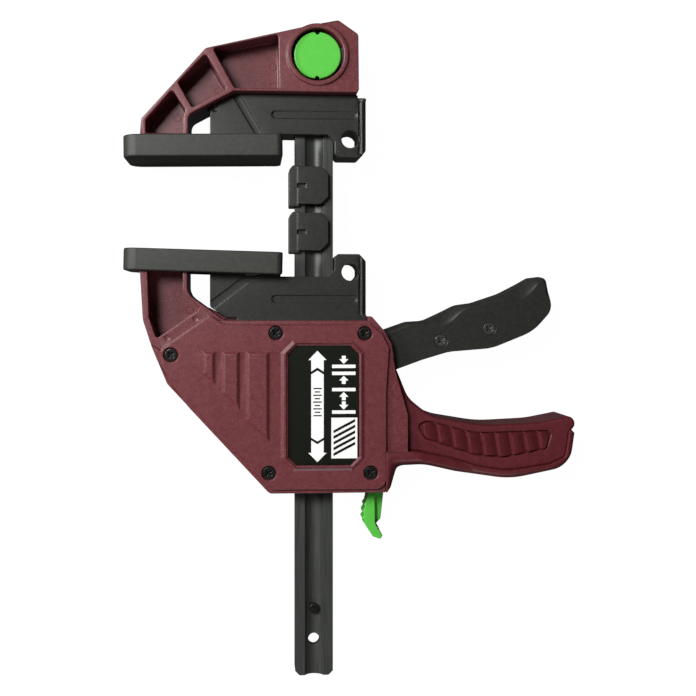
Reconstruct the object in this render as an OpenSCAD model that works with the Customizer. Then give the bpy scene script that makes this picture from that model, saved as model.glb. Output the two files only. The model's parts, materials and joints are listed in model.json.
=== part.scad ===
// Quick release bar clamp: an I-section bar with a fixed head, and a trigger-driven jaw that slides on it.
// X points from the jaw tips to the handles, Y along the bar towards the head, Z up from the bench.
// The origin is the centre of the hole in the bar's free end, at mid-thickness.

/* [Bar] */
// Length of the bar
bar_len = 365; // [355:1:420]
// Width of the bar
bar_w = 21.75; // [21:0.25:22.5]
// Thickness of the bar
bar_t = 10; // [9:0.25:10.5]
// Thickness of the web between the two troughs
web_t = 4; // [3:0.25:5]
// Width of the trough in each face of the bar
groove_w = 10.6; // [9:0.2:12]
// Diameter of the hole in the free end
end_hole_d = 6.7; // [5:0.1:8]
// Distance from the free end to that hole
end_hole_in = 20; // [14:1:26]
// Distance from the end hole to the stop pin
stop_from_hole = 18; // [14:1:24]
// Diameter of the stop pin's heads
stop_d = 5.8; // [5:0.1:7]

/* [Jaws] */
// Opening between the two pad faces, measured at mid-length
jaw_gap = 52; // [35:1:60]
// Length of each pad
pad_len = 89; // [86:0.5:92]
// Depth of each pad, from its clamping face to its back
pad_h = 12.4; // [11.5:0.1:13]
// Width of each pad across the bar
pad_w = 42; // [40:0.5:44]
// Distance from the bar's centreline to the near end of the pads
pad_root = 18.5; // [17.5:0.1:20]
// Slope of the head pad towards the other jaw, in degrees
head_toe = 0.8; // [0:0.1:1.2]
// Slope of the moving pad towards the other jaw, in degrees
jaw_toe = 1.5; // [0:0.1:1.6]
// Thickness of the two black jaw blocks
block_t = 21; // [20:0.25:22]
// Diameter of the hole through each jaw block
block_hole_d = 9.8; // [8:0.1:11]

/* [Head] */
// Thickness of the head frame
head_t = 35; // [34:0.5:37]
// Distance from the bar's end to the head pad's face
head_reach = 70; // [69:0.25:70.5]
// Thickness of the wall that is left in the middle of the pockets
pocket_web = 6; // [4:0.5:8]
// Diameter of the green button
button_d = 26.4; // [24:0.2:27]
// Travel of the green button
button_travel = 3.6; // [3.3:0.1:3.8]
// Diameter of the lock pin that enters the bar's web
lock_pin_d = 6; // [5:0.25:6.5]

/* [Housing] */
// Overall thickness of the housing
case_t = 42; // [41:0.5:44]
// Thickness of the housing's walls
case_wall = 3; // [2.5:0.1:3.5]
// Thickness of the handle
grip_t = 30; // [29:0.5:32]
// Diameter of the housing screws' heads
screw_head_d = 7.2; // [6:0.1:8]
// Length of the label
label_len = 66.6; // [60:0.5:68]
// Width of the label
label_w = 39.4; // [34:0.5:40]

/* [Mechanism] */
// Thickness of the trigger
trigger_t = 25; // [24:0.25:25.5]
// Diameter of the trigger's pivot pin
pivot_d = 8; // [6:0.25:9]
// Number of drive plates
drive_plates_n = 3; // [2:1:3]
// Thickness of one drive plate
drive_plate_t = 2.5; // [2:0.1:2.6]
// Thickness of the brake plate
brake_t = 3; // [2.5:0.1:3.2]
// Tilt of the brake plate when it grips the bar, in degrees
brake_tilt = 4.7; // [3.5:0.1:5]
// Height of each clip-on bar guard
guard_h = 23.5; // [20:0.5:25]

/* [Hidden] */
$fn = 64;

// Clearances: a sliding fit, a running fit on a pin, and the overshoot that keeps cuts clean
slide_gap = 0.3;
run_gap = 0.06;
eps = 0.5;

// Places along the bar
bar_low = -end_hole_in;
bar_top = bar_len - end_hole_in;
head_y = bar_top - head_reach;
pad_set = 0.5;
jaw_y = head_y - jaw_gap + 2 * pad_set;

// The bar's troughs are round-bottomed; trough_z is the height of their surface beside the centreline
trough_deep = (bar_t - web_t) / 2;
trough_r = (pow(groove_w / 2, 2) + pow(trough_deep, 2)) / (2 * trough_deep);
trough_rib = 3;
function trough_z(x) = web_t / 2 + trough_r - sqrt(pow(trough_r, 2) - pow(x, 2));

// Colours
burgundy = [0.38, 0.17, 0.19];
black = [0.17, 0.17, 0.16];
dark_steel = [0.25, 0.26, 0.26];
steel = [0.62, 0.63, 0.65];
green = [0.36, 0.80, 0.30];

// The two jaw blocks, with y measured away from the pad's face
block_z = block_t / 2;
block_left = -59.4;
block_right = 29.5;
block_edge = 15;
leg_left = bar_w / 2 + 0.5;
leg_end = 2.1;
leg_chamfer = 4;
hole_x = 20.3;
hole_y = 12.4;
block_mark = [-56.7, 28.9];
slot_w = 4.3;
slot_left = -22.3;
slot_right = 21.9;
slot_depth = 1;
stripe_depth = 0.8;
edge_bevel = 2;
lip_x = 25.4;
lip_w = 1.2;
head_stripe = [[-48.8, 40], [-33.4, 14], [-29, 14], [-44.3, 40]];
jaw_stripe = [[-62, 31.3], [-39, 14], [-31.5, 14], [-60.9, 36.3]];

// The foot plate that carries each pad
pad_cx = -pad_root - pad_len / 2;
foot_t = 4.6;
foot_low = 5;
foot_edge = 4;
foot_z = pad_w / 2 - foot_edge;
foot_gap = 0.25;
foot_end = pad_len / 2 - foot_edge;

// Channels for the bar
chan_x = bar_w / 2 + slide_gap;
chan_z = bar_t / 2 + slide_gap;

// The head frame's levels and the sleeve that the bar sits in
head_z = head_t / 2;
frame_low = 37.7;
sleeve_wall = 3;
sleeve_x = chan_x + sleeve_wall;
sleeve_z = chan_z + sleeve_wall;
sleeve_top = head_reach - 1;
cap_t = 1.5;

// The button, its ring and the latch behind the bar
button_x = 1.2;
button_y = 58.5;
ring_r = 17.4;
ring_in_r = button_d / 2 + 1.6;
ring_z = head_z + 1.5;
button_top = head_z - 1;
button_t = 2.5;
bridge_t = 2.2;
bridge_low = button_top - button_t - bridge_t;
leg_x = sleeve_x + 2.7;
leg_r = 1.2;
button_spring_r = 1.75;
bridge_x = leg_x + 2.2;
bridge_w = 10;
latch_t = 2;
latch_front = -sleeve_z - slide_gap;
latch_back = latch_front - latch_t;
spring_ledge = -4;
lock_tip = button_travel - trough_z(lock_pin_d / 2) - slide_gap;
lock_hole_r = lock_pin_d / 2 + 0.15;
head_screw_x = chan_x + sleeve_wall / 2;
head_screw_y = 44;
head_screw_r = 1;

// The housing's levels
case_z = case_t / 2;
rim_z = case_z - 2;
arm_z = head_z;
cavity_z = rim_z - case_wall - 0.2;
grip_z = grip_t / 2;
case_low = -136.8;
case_top = -40;
boss_r = 4.5;
screw_r = 1.5;
screw_head_h = 2;
screw_top = case_z - 0.6;
sink_r = screw_head_d / 2 + 0.6;
tang_low = -52.6;
label_x = 4.4;
label_y = -87.5;
label_cut = 4.8;
label_t = 0.8;
label_z = case_z - 1.8;
frame_w = 3.2;
frame_h = 1;
frame_bevel = 1.9;
rib_n = 9;
rib_at = [62.8, -111];
rib_pitch = 8.27;
rib_lean = 9.6;
rib_half = 16;
rib_floor = grip_z - 0.7;
rib_h = 1.7;
case_screws = [[-80.5, -59], [-22.3, -46.9], [27.6, -47.2], [-26.2, -125], [31, -125.4]];

// The trigger, its fork and the drive plates below the fork's nose
pivot = [-22, -72];
fork_in = bar_t / 2 + 0.8;
fork_t = 4;
fork_out = fork_in + fork_t;
hub_r = 8;
nose = [3, -79.6];
nose_r = 3.1;
tongue_z = 4;
bush_t = 1;
fork_outer = [
    [14, -58.4], [30, -54.2], [34, -52.4], [34, -72], [14, -74], nose + nose_r * [0.8, -0.6], nose,
    pivot - [0, hub_r], pivot + [0, hub_r]
];
fork_bridge = [[15.5, -58], [33, -53.2], [33, -72.1], [15.5, -73.8]];
tongue_root = [[32, -56], [44, -54], [44, -62], [32, -66]];
tongue_cut = [20, -70];
tongue_end = 112;
cover_z = trigger_t / 2;
trigger_screw_at = [[72.4, -51.5], [100.4, -44.7]];
drive_top = nose[1] - nose_r - slide_gap;
drive_gap = 0.15;
drive_x = 19;
drive_z = 10.2;
plate_hole_x = bar_w / 2 + 0.45;
plate_hole_z = bar_t / 2 + 0.4;
drive_low = drive_top - drive_plates_n * (drive_plate_t + drive_gap) + drive_gap;
washer_t = 1;
seat_y = -107.5;
seat_t = 2.5;
spring_wire = 1.8;
drive_spring_r = sqrt(pow(bar_w / 2, 2) + pow(bar_t / 2, 2)) + spring_wire / 2 + 0.5;

// The brake plate, hinged at its left end, and the release lever that turns on the lower right boss
fulcrum = [-19.5, -123.5];
brake_right = 39;
brake_z = 9;
lever_at = case_screws[4];
lever_z = 6;
lever_hub_r = 7.6;
lever_heel = [-2, 5.5];
lever_heel_r = 3;
tooth_r = 1;
tooth_at = [[-1.1, -20.9], [-1.8, -24.7], [-2.1, -28.6], [-1, -31.3]];
lever_step = 3.5;
lever_recess = [[4.2, -16.4], [6, -13.6], [12, -13.6], [12, -34], [5.6, -34], [4.4, -31]];
lever_outer = [
    [-1.6, -2.6, 0], [9.4, -2.6, 2], [9.5, -14.6, 1], [7.8, -29.6, 2], [4.8, -32.8, 1], [8.7, -38.6, 1.2],
    [7.4, -40.8, 1.2], [2.9, -39.2, 1], [-1.8, -31.9, 2], [-2.2, -24.6, 1], [-0.2, -15.6, 1]
];
lever_nose_r = 2.2;
lever_nose = [15.5, fulcrum[1] + 35 * tan(brake_tilt) + brake_t / 2 + lever_nose_r + slide_gap];
lever_elbow = lever_nose + [5.5, 2.6];
brake_spring_x = 15.3;
brake_spring_r = 2.1;

// The guards between the jaws
guard_gap = 3;
guard_below_head = 2.3;
guard_wall = 3.2;
guard_left = -bar_w / 2 - slide_gap - guard_wall;
guard_plate = guard_left + 4.7;
guard_rise = 1.4;
guard_right = 8;

// A polygon's points from corners [x, y, r], each rounded with radius r
function unit(v) = v / norm(v);
function corner(a, p, b, r, n) =
    r == 0 ? [[p[0], p[1]]] :
    let (u = unit([a[0] - p[0], a[1] - p[1]]), v = unit([b[0] - p[0], b[1] - p[1]]),
         half = acos(max(-1, min(1, u * v))) / 2,
         c = [p[0], p[1]] + unit(u + v) * r / sin(half),
         s = [p[0], p[1]] + u * r / tan(half) - c,
         e = [p[0], p[1]] + v * r / tan(half) - c,
         turn = atan2(s[0] * e[1] - s[1] * e[0], s * e))
    [for (i = [0 : n]) let (t = turn * i / n)
        c + [s[0] * cos(t) - s[1] * sin(t), s[0] * sin(t) + s[1] * cos(t)]];
function rounded(pts, n = 6) =
    let (k = len(pts))
    [for (i = [0 : k - 1]) each corner(pts[(i + k - 1) % k], pts[i], pts[(i + 1) % k], pts[i][2], n)];

module outline(pts, n = 6) {
    polygon(rounded(pts, n));
}

module octagon(w, h, cut) {
    outline([
        [-w / 2, -h / 2 + cut, 0], [-w / 2 + cut, -h / 2, 0],
        [w / 2 - cut, -h / 2, 0], [w / 2, -h / 2 + cut, 0],
        [w / 2, h / 2 - cut, 0], [w / 2 - cut, h / 2, 0], [-w / 2 + cut, h / 2, 0], [-w / 2, h / 2 - cut, 0]
    ]);
}

module slab(z0, z1) {
    translate([0, 0, z0]) linear_extrude(z1 - z0) children();
}

module box(x0, x1, y0, y1, z0, z1) {
    translate([x0, y0, z0]) cube([x1 - x0, y1 - y0, z1 - z0]);
}

module rod(at, r, z0, z1) {
    translate([at[0], at[1], z0]) cylinder(h = z1 - z0, r = r);
}

module in_head() {
    translate([0, head_y, 0]) children();
}

module in_jaw() {
    translate([0, jaw_y, 0]) children();
}

// A coil spring along +Z, swept from its own formula
module coil(r, wire, length, turns) {
    steps = 16;
    sides = 6;
    rise = (length - wire) / turns;
    rings = [for (i = [0 : round(turns * steps)]) let (a = 360 * i / steps, z = wire / 2 + rise * i / steps)
        [for (j = [0 : sides - 1]) let (b = 360 * j / sides, q = r + wire / 2 * cos(b))
            [q * cos(a), q * sin(a), z + wire / 2 * sin(b)]]];
    last = len(rings) - 1;
    walls = [for (i = [0 : last - 1], j = [0 : sides - 1]) let (k = (j + 1) % sides)
        each [[i * sides + j, (i + 1) * sides + j, i * sides + k],
              [i * sides + k, (i + 1) * sides + j, (i + 1) * sides + k]]];
    ends = [[for (j = [0 : sides - 1]) j], [for (j = [sides - 1 : -1 : 0]) last * sides + j]];
    polyhedron(points = [for (ring = rings) each ring], faces = concat(walls, ends));
}

// A screw along +Z with its head's top at z = 0 and a cross recess
module cross_screw(head_r, head_h, shank_r, length) {
    cross_w = head_r * 0.28;
    cross_l = head_r * 1.15;
    difference() {
        union() {
            rod([0, 0], head_r, -head_h, 0);
            rod([0, 0], shank_r, -length, -head_h);
        }
        for (a = [0, 90]) rotate(a + 45)
            box(-cross_l / 2, cross_l / 2, -cross_w / 2, cross_w / 2, -head_h * 0.6, eps);
    }
}

module bar_rail() {
    cut = 2.5;
    color(dark_steel) difference() {
        slab(-bar_t / 2, bar_t / 2) outline([
            [-bar_w / 2, bar_low + cut, 1], [-bar_w / 2 + cut, bar_low, 1], [bar_w / 2 - cut, bar_low, 1],
            [bar_w / 2, bar_low + cut, 1], [bar_w / 2, bar_top, 0], [-bar_w / 2, bar_top, 0]
        ]);
        for (s = [0, 1]) mirror([0, 0, s])
            translate([0, bar_top + eps, web_t / 2 + trough_r]) rotate([90, 0, 0])
                cylinder(r = trough_r, h = bar_len + 2 * eps);
        rod([0, 0], end_hole_d / 2, -bar_t, bar_t);
        rod([0, stop_from_hole], stop_d / 3 + run_gap, -bar_t, bar_t);
        for (s = [0, 1]) mirror([0, 0, s]) rod([0, stop_from_hole], stop_d / 2 + run_gap, web_t / 2, bar_t);
        rod([0, head_y + button_y], lock_hole_r, -bar_t, bar_t);
    }
}

module bar_stop_pin() {
    head_h = 2.6;
    color(black) translate([0, stop_from_hole, 0]) union() {
        rod([0, 0], stop_d / 3, -web_t / 2 - eps, web_t / 2 + eps);
        for (s = [0, 1]) mirror([0, 0, s]) rod([0, 0], stop_d / 2, web_t / 2, web_t / 2 + head_h);
    }
}

// Body of a jaw block without its back, its leg at the right of the bar, and its pad's foot plate
module block_body(right_end, back, toe) {
    foot_top = foot_low + foot_t;
    neck_end = pad_cx + foot_end - 0.5;
    slab(-block_z, block_z) outline([
        pad_line(block_left, foot_top - 1, toe), pad_line(neck_end, foot_top - 1, toe),
        pad_line(neck_end, foot_top + foot_gap, toe), pad_line(-pad_root - 1, foot_top + foot_gap, toe),
        [-pad_root - 1, block_edge, 0], [leg_left - leg_chamfer, block_edge, 0],
        [leg_left, block_edge - leg_chamfer, 0], [leg_left, leg_end + 2, 0], [leg_left + 2, leg_end, 0],
        [block_right - leg_chamfer, leg_end, 0], [block_right, leg_end + leg_chamfer, 0],
        [block_right, right_end, 1], each back
    ]);
    pad_turn(toe) box(-pad_len / 2 + foot_edge, foot_end, foot_low, foot_top, -foot_z, foot_z);
}

module block_cuts(slot_y, back_y, stripe) {
    rod([hole_x, hole_y], block_hole_d / 2, -block_z - eps, block_z + eps);
    box(-chan_x, chan_x, -eps, 90, -chan_z, chan_z);
    for (s = [0, 1]) mirror([0, 0, s]) slab(block_z - slot_depth, block_z + eps) hull() {
        translate([slot_left, slot_y]) circle(slot_w / 2);
        translate([slot_right, slot_y]) circle(slot_w / 2);
    }
    // The slanted band, the thin groove beside the outer edge and that edge's bevel
    for (s = [0, 1]) mirror([0, 0, s]) {
        slab(block_z - stripe_depth, block_z + eps) polygon(stripe);
        box(lip_x, lip_x + lip_w, leg_end + edge_bevel, back_y - edge_bevel,
            block_z - stripe_depth, block_z + eps);
        translate([0, back_y - edge_bevel, 0]) rotate([90, 0, 0]) linear_extrude(back_y) polygon([
            [block_right - edge_bevel - eps, block_z + eps], [block_right + eps, block_z + eps],
            [block_right + eps, block_z - edge_bevel - eps]
        ]);
    }
}

module pad_turn(toe) {
    translate([pad_cx, pad_set + pad_h / 2, 0]) rotate(toe) translate([0, -pad_h / 2, 0]) children();
}

// Corner at x on the line that runs at a height above a pad's face
function pad_line(x, height, toe) =
    [x, pad_set + pad_h / 2 + (x - pad_cx) * tan(toe) + (height - pad_h / 2) / cos(toe), 0];

// Back edge of a pad, where an arm stands on it
function pad_back(x, toe) = pad_set + pad_h + (x - pad_cx) * tan(toe);

module pad_solid(toe) {
    tip_r = 8;
    root_r = 3.5;
    neck_z = block_z + foot_gap;
    color(black) pad_turn(toe) difference() {
        rotate([90, 0, 0]) translate([0, 0, -pad_h]) linear_extrude(pad_h) outline([
            [-pad_len / 2, -pad_w / 2, tip_r], [pad_len / 2, -pad_w / 2, root_r],
            [pad_len / 2, pad_w / 2, root_r], [-pad_len / 2, pad_w / 2, tip_r]
        ], 8);
        box(-pad_len / 2 + foot_edge - foot_gap, foot_end + foot_gap,
            foot_low, foot_low + foot_t + foot_gap, -foot_z - foot_gap, foot_z + foot_gap);
        box(-pad_len / 2 + foot_edge + 4, pad_len / 2 + eps, foot_low + foot_t, pad_h + eps, -neck_z, neck_z);
    }
}

// The head frame's outline, from the arm's end round the top to the lower edge
head_tip = -98;
head_outer = [
    [head_tip, pad_back(head_tip, head_toe), 0], [head_tip + 0.7, 21.4, 3], [-61.5, 61.4, 4],
    [12.9, 78.3, 2.5], [24.3, 70.5, 2.5],
    [24.6, frame_low, 2], [-45.6, frame_low, 2], [-71.2, 23.9, 5], [-71.2, pad_back(-71.2, head_toe), 0]
];
head_pockets = [
    [[-94.7, 13.4, 0], [-94.7, 20.8, 2], [-80, 37.9, 1.5], [-72.8, 26.6, 1.5], [-74, 22.4, 4], [-74, 13.4, 0]],
    [[-77, 41.9, 1.5], [-61.5, 58.2, 1.5], [-50, 38.6, 1.5], [-69, 27.9, 1.5]],
    [[-57.7, 61.3, 1.5], [-20.9, 69.7, 1.5], [-20.4, 39.4, 1], [-45.4, 39.2, 1.5]]
];

module head_frame() {
    color(burgundy) in_head() difference() {
        union() {
            slab(-head_z, head_z) outline(head_outer);
            rod([button_x, button_y], ring_r, head_z - eps, ring_z);
            arm_tongue(jaw_tongue[0], jaw_tongue[1], head_toe);
        }
        for (s = [0, 1]) mirror([0, 0, s]) for (p = head_pockets)
            slab(pocket_web / 2, ring_z + eps) outline(p);
        box(-sleeve_x - 0.1, sleeve_x + 0.1, frame_low - eps, sleeve_top + 0.1,
            -sleeve_z - 0.1, sleeve_z + 0.1);
        rod([button_x, button_y], ring_in_r, 0, ring_z + eps);
        box(-chan_x, chan_x, sleeve_top, head_reach + slide_gap, -chan_z, chan_z);
        latch_room(chan_z, button_top - button_t + slide_gap, bridge_x);
        latch_room(-head_z - eps, -sleeve_z, bridge_x);
        box(-bridge_x - 1, bridge_x + 1, button_y - bridge_w / 2 - 1.5, button_y + bridge_w / 2 + 1.5,
            -head_z - eps, -head_z + cap_t);
        for (x = [-leg_x, leg_x]) {
            rod([x, button_y], button_spring_r + 0.55, spring_ledge, bridge_low);
            rod([x, button_y], leg_r + 0.2, latch_front - eps, spring_ledge + eps);
        }
        for (x = [-head_screw_x, head_screw_x]) {
            rod([x, head_screw_y], head_screw_r + 0.1, -head_z, 0);
            rod([x, head_screw_y], head_screw_r * 2 + 0.2, -head_z - eps, -head_z + 5);
        }
    }
}

module latch_room(z0, z1, half) {
    box(-half - slide_gap, half + slide_gap, button_y - bridge_w / 2 - slide_gap,
        button_y + bridge_w / 2 + slide_gap, z0, z1);
}

// The end of an arm that reaches through the pad's back to the foot plate
module arm_tongue(x0, x1, toe) {
    box(x0, x1, pad_set + foot_low + foot_t + (x1 - pad_cx) * tan(toe) + 0.02, pad_h + 2,
        -block_z + 1, block_z - 1);
}

module head_block() {
    color(black) in_head() difference() {
        union() {
            block_body(frame_low - 1.7, [[24.6, frame_low - 1.7, 0], [24.6, frame_low, 0],
                [-45.6, frame_low, 2], [block_left, frame_low - (-45.6 - block_left) * 0.539, 0]], head_toe);
            box(-sleeve_x, sleeve_x, frame_low - eps, sleeve_top, -sleeve_z, sleeve_z);
        }
        block_cuts(26, frame_low - 1.7, head_stripe);
        rod([button_x, button_y], ring_in_r, chan_z - eps, sleeve_z + eps);
        latch_room(chan_z - eps, sleeve_z + eps, bridge_x);
        rod([0, button_y], lock_hole_r, -sleeve_z - eps, 0);
        rod(block_mark, 1.7, block_z - 0.6, block_z + eps);
        for (x = [-head_screw_x, head_screw_x])
            rod([x, head_screw_y], head_screw_r + 0.02, -sleeve_z - eps, 3.1);
    }
}

module head_pad() {
    in_head() pad_solid(head_toe);
}

module head_rear_cap() {
    color(burgundy) in_head()
        box(-bridge_x - 0.9, bridge_x + 0.9, button_y - bridge_w / 2 - 1.4, button_y + bridge_w / 2 + 1.4,
            -head_z, -head_z + cap_t);
}

module head_screws() {
    color(dark_steel) in_head() for (x = [-head_screw_x, head_screw_x])
        translate([x, head_screw_y, -head_z + 3.4]) mirror([0, 0, 1])
            cross_screw(head_screw_r * 2, 1.6, head_screw_r, head_z - 3.4 + 3);
}

module release_button() {
    notch_r = 1.4;
    color(green) in_head() difference() {
        union() {
            rod([button_x, button_y], button_d / 2, button_top - button_t, button_top);
            box(-bridge_x, bridge_x, button_y - bridge_w / 2, button_y + bridge_w / 2,
                bridge_low, button_top - button_t);
        }
        for (x = [-leg_x, leg_x]) rod([x, button_y], leg_r + 0.02, bridge_low - eps, bridge_low + 1.5);
        for (s = [-1, 1])
            rod([button_x, button_y + s * button_d / 2], notch_r, button_top - 1, button_top + eps);
    }
}

module latch_plate() {
    color(steel) in_head() difference() {
        union() {
            box(-bridge_x, bridge_x, button_y - bridge_w / 2, button_y + bridge_w / 2,
                latch_back, latch_front);
            for (x = [-leg_x, leg_x]) rod([x, button_y], leg_r, latch_front - eps, bridge_low + 1.5);
        }
        rod([0, button_y], lock_pin_d / 2 + 0.02, latch_back - eps, latch_front + eps);
    }
}

module lock_pin() {
    color(steel) in_head() rod([0, button_y], lock_pin_d / 2, latch_back, lock_tip);
}

module button_springs() {
    color(steel) in_head() for (x = [-leg_x, leg_x]) translate([x, button_y, spring_ledge])
        coil(button_spring_r, 0.5, bridge_low - spring_ledge, 6);
}

// A guard that clips on from the left and holds on by its ribs in the troughs
module guard_at(top) {
    cut = 4.2;
    color(black) translate([0, top, 0]) difference() {
        union() {
            slab(-chan_z - guard_wall, chan_z + guard_wall) outline([
                [guard_plate, -guard_h + guard_rise, 0], [guard_right - cut, -guard_h + guard_rise, 1],
                [guard_right, -guard_h + guard_rise + cut, 1], [guard_right, -0.6 - cut, 1],
                [guard_right - cut, -0.6, 1], [guard_plate, -0.6, 0]
            ]);
            slab(-chan_z - guard_wall + 1, chan_z + guard_wall - 1) outline([
                [guard_left, -guard_h, 0.8], [guard_plate + 1.2, -guard_h, 0], [guard_plate + 1.2, 0, 0],
                [guard_left + 2, 0, 0], [guard_left, -2.5, 0]
            ]);
        }
        difference() {
            box(-chan_x, guard_right + eps, -guard_h - eps, eps, -chan_z, chan_z);
            for (s = [0, 1]) mirror([0, 0, s])
                box(-trough_rib, trough_rib, -guard_h, 0, trough_z(trough_rib) + slide_gap, chan_z + eps);
        }
        for (s = [0, 1]) mirror([0, 0, s])
            box(guard_plate, guard_plate + 5, -guard_h / 2 - 1.1, -guard_h / 2 + 1.5,
                chan_z + 1, chan_z + guard_wall + eps);
    }
}

module bar_guard_upper() {
    guard_at(head_y - guard_below_head);
}

module bar_guard_lower() {
    guard_at(head_y - guard_below_head - guard_h - guard_gap);
}

// The housing's outlines, with y measured from the moving pad's face
arm_left = -98;
arm_right = -71.8;
jaw_tongue = [-94, -75];
rim_area = [
    [-94, -52], [-79, -78], [-30, case_low - 3], [60, case_low - 3], [60, -30], [20, -30], [20, case_top],
    [-54.4, case_top], [-58.2, -38], [-86, -56.9]
];
lever_slot = [
    [28.4, case_low - 3], [48, case_low - 3], [48, case_low + 7], [43, case_low + 17], [33, case_low + 6],
    [28.4, case_low + 4]
];
block_nook = [[block_left - 0.3, -28], [block_left - 0.3, -32.4], [-50.5, -38.7], [-40, -38.7], [-40, -28]];
block_ledge = [[-60.4, -32.6], [-50, -38.2], [-42, -38.2], [-42, -44], [-52, -44], [-64, -35.6]];
arm_dimples = [[-82.6, -49.7], [-67.1, -39]];
case_outer = [
    [arm_left, -pad_back(arm_left, jaw_toe), 0], [-96.3, -39.6, 12], [-92.3, -52, 12], [-82.9, -75.2, 6],
    [-25.9, case_low, 4], [42.2, case_low, 5], [46.4, -123, 4], [52.4, -121.8, 0], [52.4, -93, 12],
    [45.4, -69, 14], [42.9, -53, 2], [39, -46, 1.5], [31.6, -37.6, 2], [29.8, -37.6, 0], [29.8, case_top, 0],
    [-51, case_top, 8], [arm_right, -25.1, 8], [arm_right, -pad_back(arm_right, jaw_toe), 0]
];
grip_outer = [
    [38, -124.5, 0], [46.4, -122.4, 3], [62, -121.8, 30], [80, -126, 40], [112, -130.8, 50],
    [146.8, -123.8, 14], [149.6, -104.6, 0.8], [147.6, -102.4, 0.4], [149.7, -100.6, 0.8], [150, -94.4, 4],
    [128, -98.6, 60], [98, -100, 70], [66, -94.6, 30], [53, -84, 16], [44, -62, 0],
    [38, -62, 0]
];
panel_outer = [
    [-86.4, -56.2, 2], [-81.2, -74.6, 5], [-25.2, -134.3, 4], [39.6, -134.6, 6], [39.6, -80, 14],
    [41.2, -55.5, 2], [37.6, -48, 1.5], [31, -42.2, 1.5], [-51.6, -42.2, 6], [-58.6, -37.2, 1]
];
arm_pocket = [
    [-94, -9, 0], [-93, -38, 6], [-88.9, -50.2, 1.5], [-64.2, -33.2, 1.5], [-74.2, -24, 5], [-74.2, -9, 0]
];
cavity_outer = [
    [-86, -57.2, 2], [-79.6, -73, 3], [-24.4, case_low + case_wall, 3], [40.2, case_low + case_wall, 3],
    [44.4, -120, 3], [49.2, -118, 3], [49.2, -93.5, 8], [42.2, -69, 8], [39.6, -54, 2], [30, -43.2, 2],
    [-50, case_top - case_wall, 6], [-62, -40.6, 4]
];
trigger_slot = [
    [30, -45, 0], [60, -36, 0], [60, -84, 0], [66.5, -88, 2], [64.5, -92, 2], [30, -92, 0]
];
lip_zone = [
    [39.6, -113.9, 0], [58, -113.9, 20], [76, -117.6, 20], [92, -123.2, 30], [108.3, -126, 40],
    [134.4, -123.2, 8], [143.9, -118.6, 5], [145.9, -103.9, 0], [156, -102.2, 0], [156, -140, 0],
    [39.6, -140, 0]
];
lip_top = case_z + 0.6;
lip_low = grip_z + 1.5;
lip_slope = [[39.6, 0], [39.6, lip_top], [54, lip_top], [84, lip_low], [156, lip_low], [156, 0]];
grip_window = [
    [58.2, -99.6, 2], [64, -96.8, 8], [92, -104, 40], [136.6, -102.8, 2.5], [133, -113.8, 3],
    [108, -118.6, 20], [92, -117, 20], [62.6, -107.4, 3]
];

module housing_half(side) {
    difference() {
        union() {
            slab(0, arm_z) outline(case_outer);
            slab(0, block_z - 3) polygon(block_ledge);
            slab(0, rim_z) intersection() {
                outline(case_outer);
                polygon(rim_area);
            }
            slab(0, case_z) outline(panel_outer);
            slab(0, grip_z) outline(grip_outer);
            grip_lip();
            if (side > 0) label_frame();
            mirror([0, 1, 0]) intersection() {
                arm_tongue(jaw_tongue[0], jaw_tongue[1], jaw_toe);
                box(-pad_len - pad_root - eps, 0, 0, pad_h * 2, 0, block_z);
            }
        }
        slab(pocket_web / 2, case_z + eps) outline(arm_pocket);
        difference() {
            slab(-eps, cavity_z) outline(cavity_outer);
            case_insides();
        }
        slab(-eps, cover_z + slide_gap) outline(trigger_slot);
        slab(-eps, grip_z - 4) offset(delta = -3.5) outline(grip_outer);
        slab(rib_floor, case_z) outline(grip_window);
        box(-chan_x, chan_x, case_low - eps, 0, -eps, chan_z);
        box(-44 - slide_gap, block_right + slide_gap, tang_low, 0, -eps, block_z + 0.02);
        slab(-eps, block_z + 0.02) polygon(block_nook);
        slab(-eps, lever_z + 0.4) polygon(lever_slot);
        for (p = arm_dimples) rod(p, 1.5, arm_z - 0.6, case_z);
        for (p = case_screws) case_screw_hole(p, side);
        rod(pivot, pivot_d / 2 + 0.02, -eps, cavity_z + 1.5);
        if (side > 0) translate([label_x, label_y, 0]) {
            slab(label_z, case_z + 2) octagon(label_w + 0.4, label_len + 0.4, label_cut);
            hull() {
                slab(case_z, case_z + 0.01) octagon(label_w + 0.4, label_len + 0.4, label_cut);
                slab(case_z, case_z + 2) octagon(label_w + 2.4, label_len + 2.4, label_cut + 0.6);
            }
        }
    }
    grip_ribs();
    louvres();
}

// Bosses, ribs and seats inside one half of the housing
module case_insides() {
    top = cavity_z + eps;
    for (i = [0 : 4]) rod(case_screws[i], boss_r, i == 1 || i == 2 ? block_z + 0.02 : 0, top);
    rod(pivot, pivot_d / 2 + 3, fork_out + bush_t + 0.05, top);
    box(-drive_x - 4, drive_x + 4, seat_y - seat_t, seat_y, chan_z, top);
    for (s = [0, 1]) mirror([s, 0, 0]) box(chan_x, drive_x + 4, seat_y - seat_t, seat_y, 0, top);
    box(-trough_rib, trough_rib, seat_y - seat_t, seat_y, trough_z(trough_rib) + slide_gap, top);
    for (y = [fulcrum[1] - brake_t / 2 - 2.9, fulcrum[1] + brake_t / 2 + 0.6])
        box(fulcrum[0] - 7, fulcrum[0] + 2, y, y + 2.3, 0, top);
    box(brake_spring_x - 3, brake_spring_x + 3, case_low + 1, case_low + case_wall + 0.01, 0, top);
}

module case_screw_hole(p, side) {
    rod(p, screw_r + (side > 0 ? 0.3 : 0.02), -eps, side > 0 ? case_z + eps : cavity_z + 1);
    if (side > 0) {
        rod(p, screw_head_d / 2 + 0.1, screw_top - screw_head_h, case_z + eps);
        rod(p, sink_r, case_z - 1, case_z + eps);
    }
}

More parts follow.
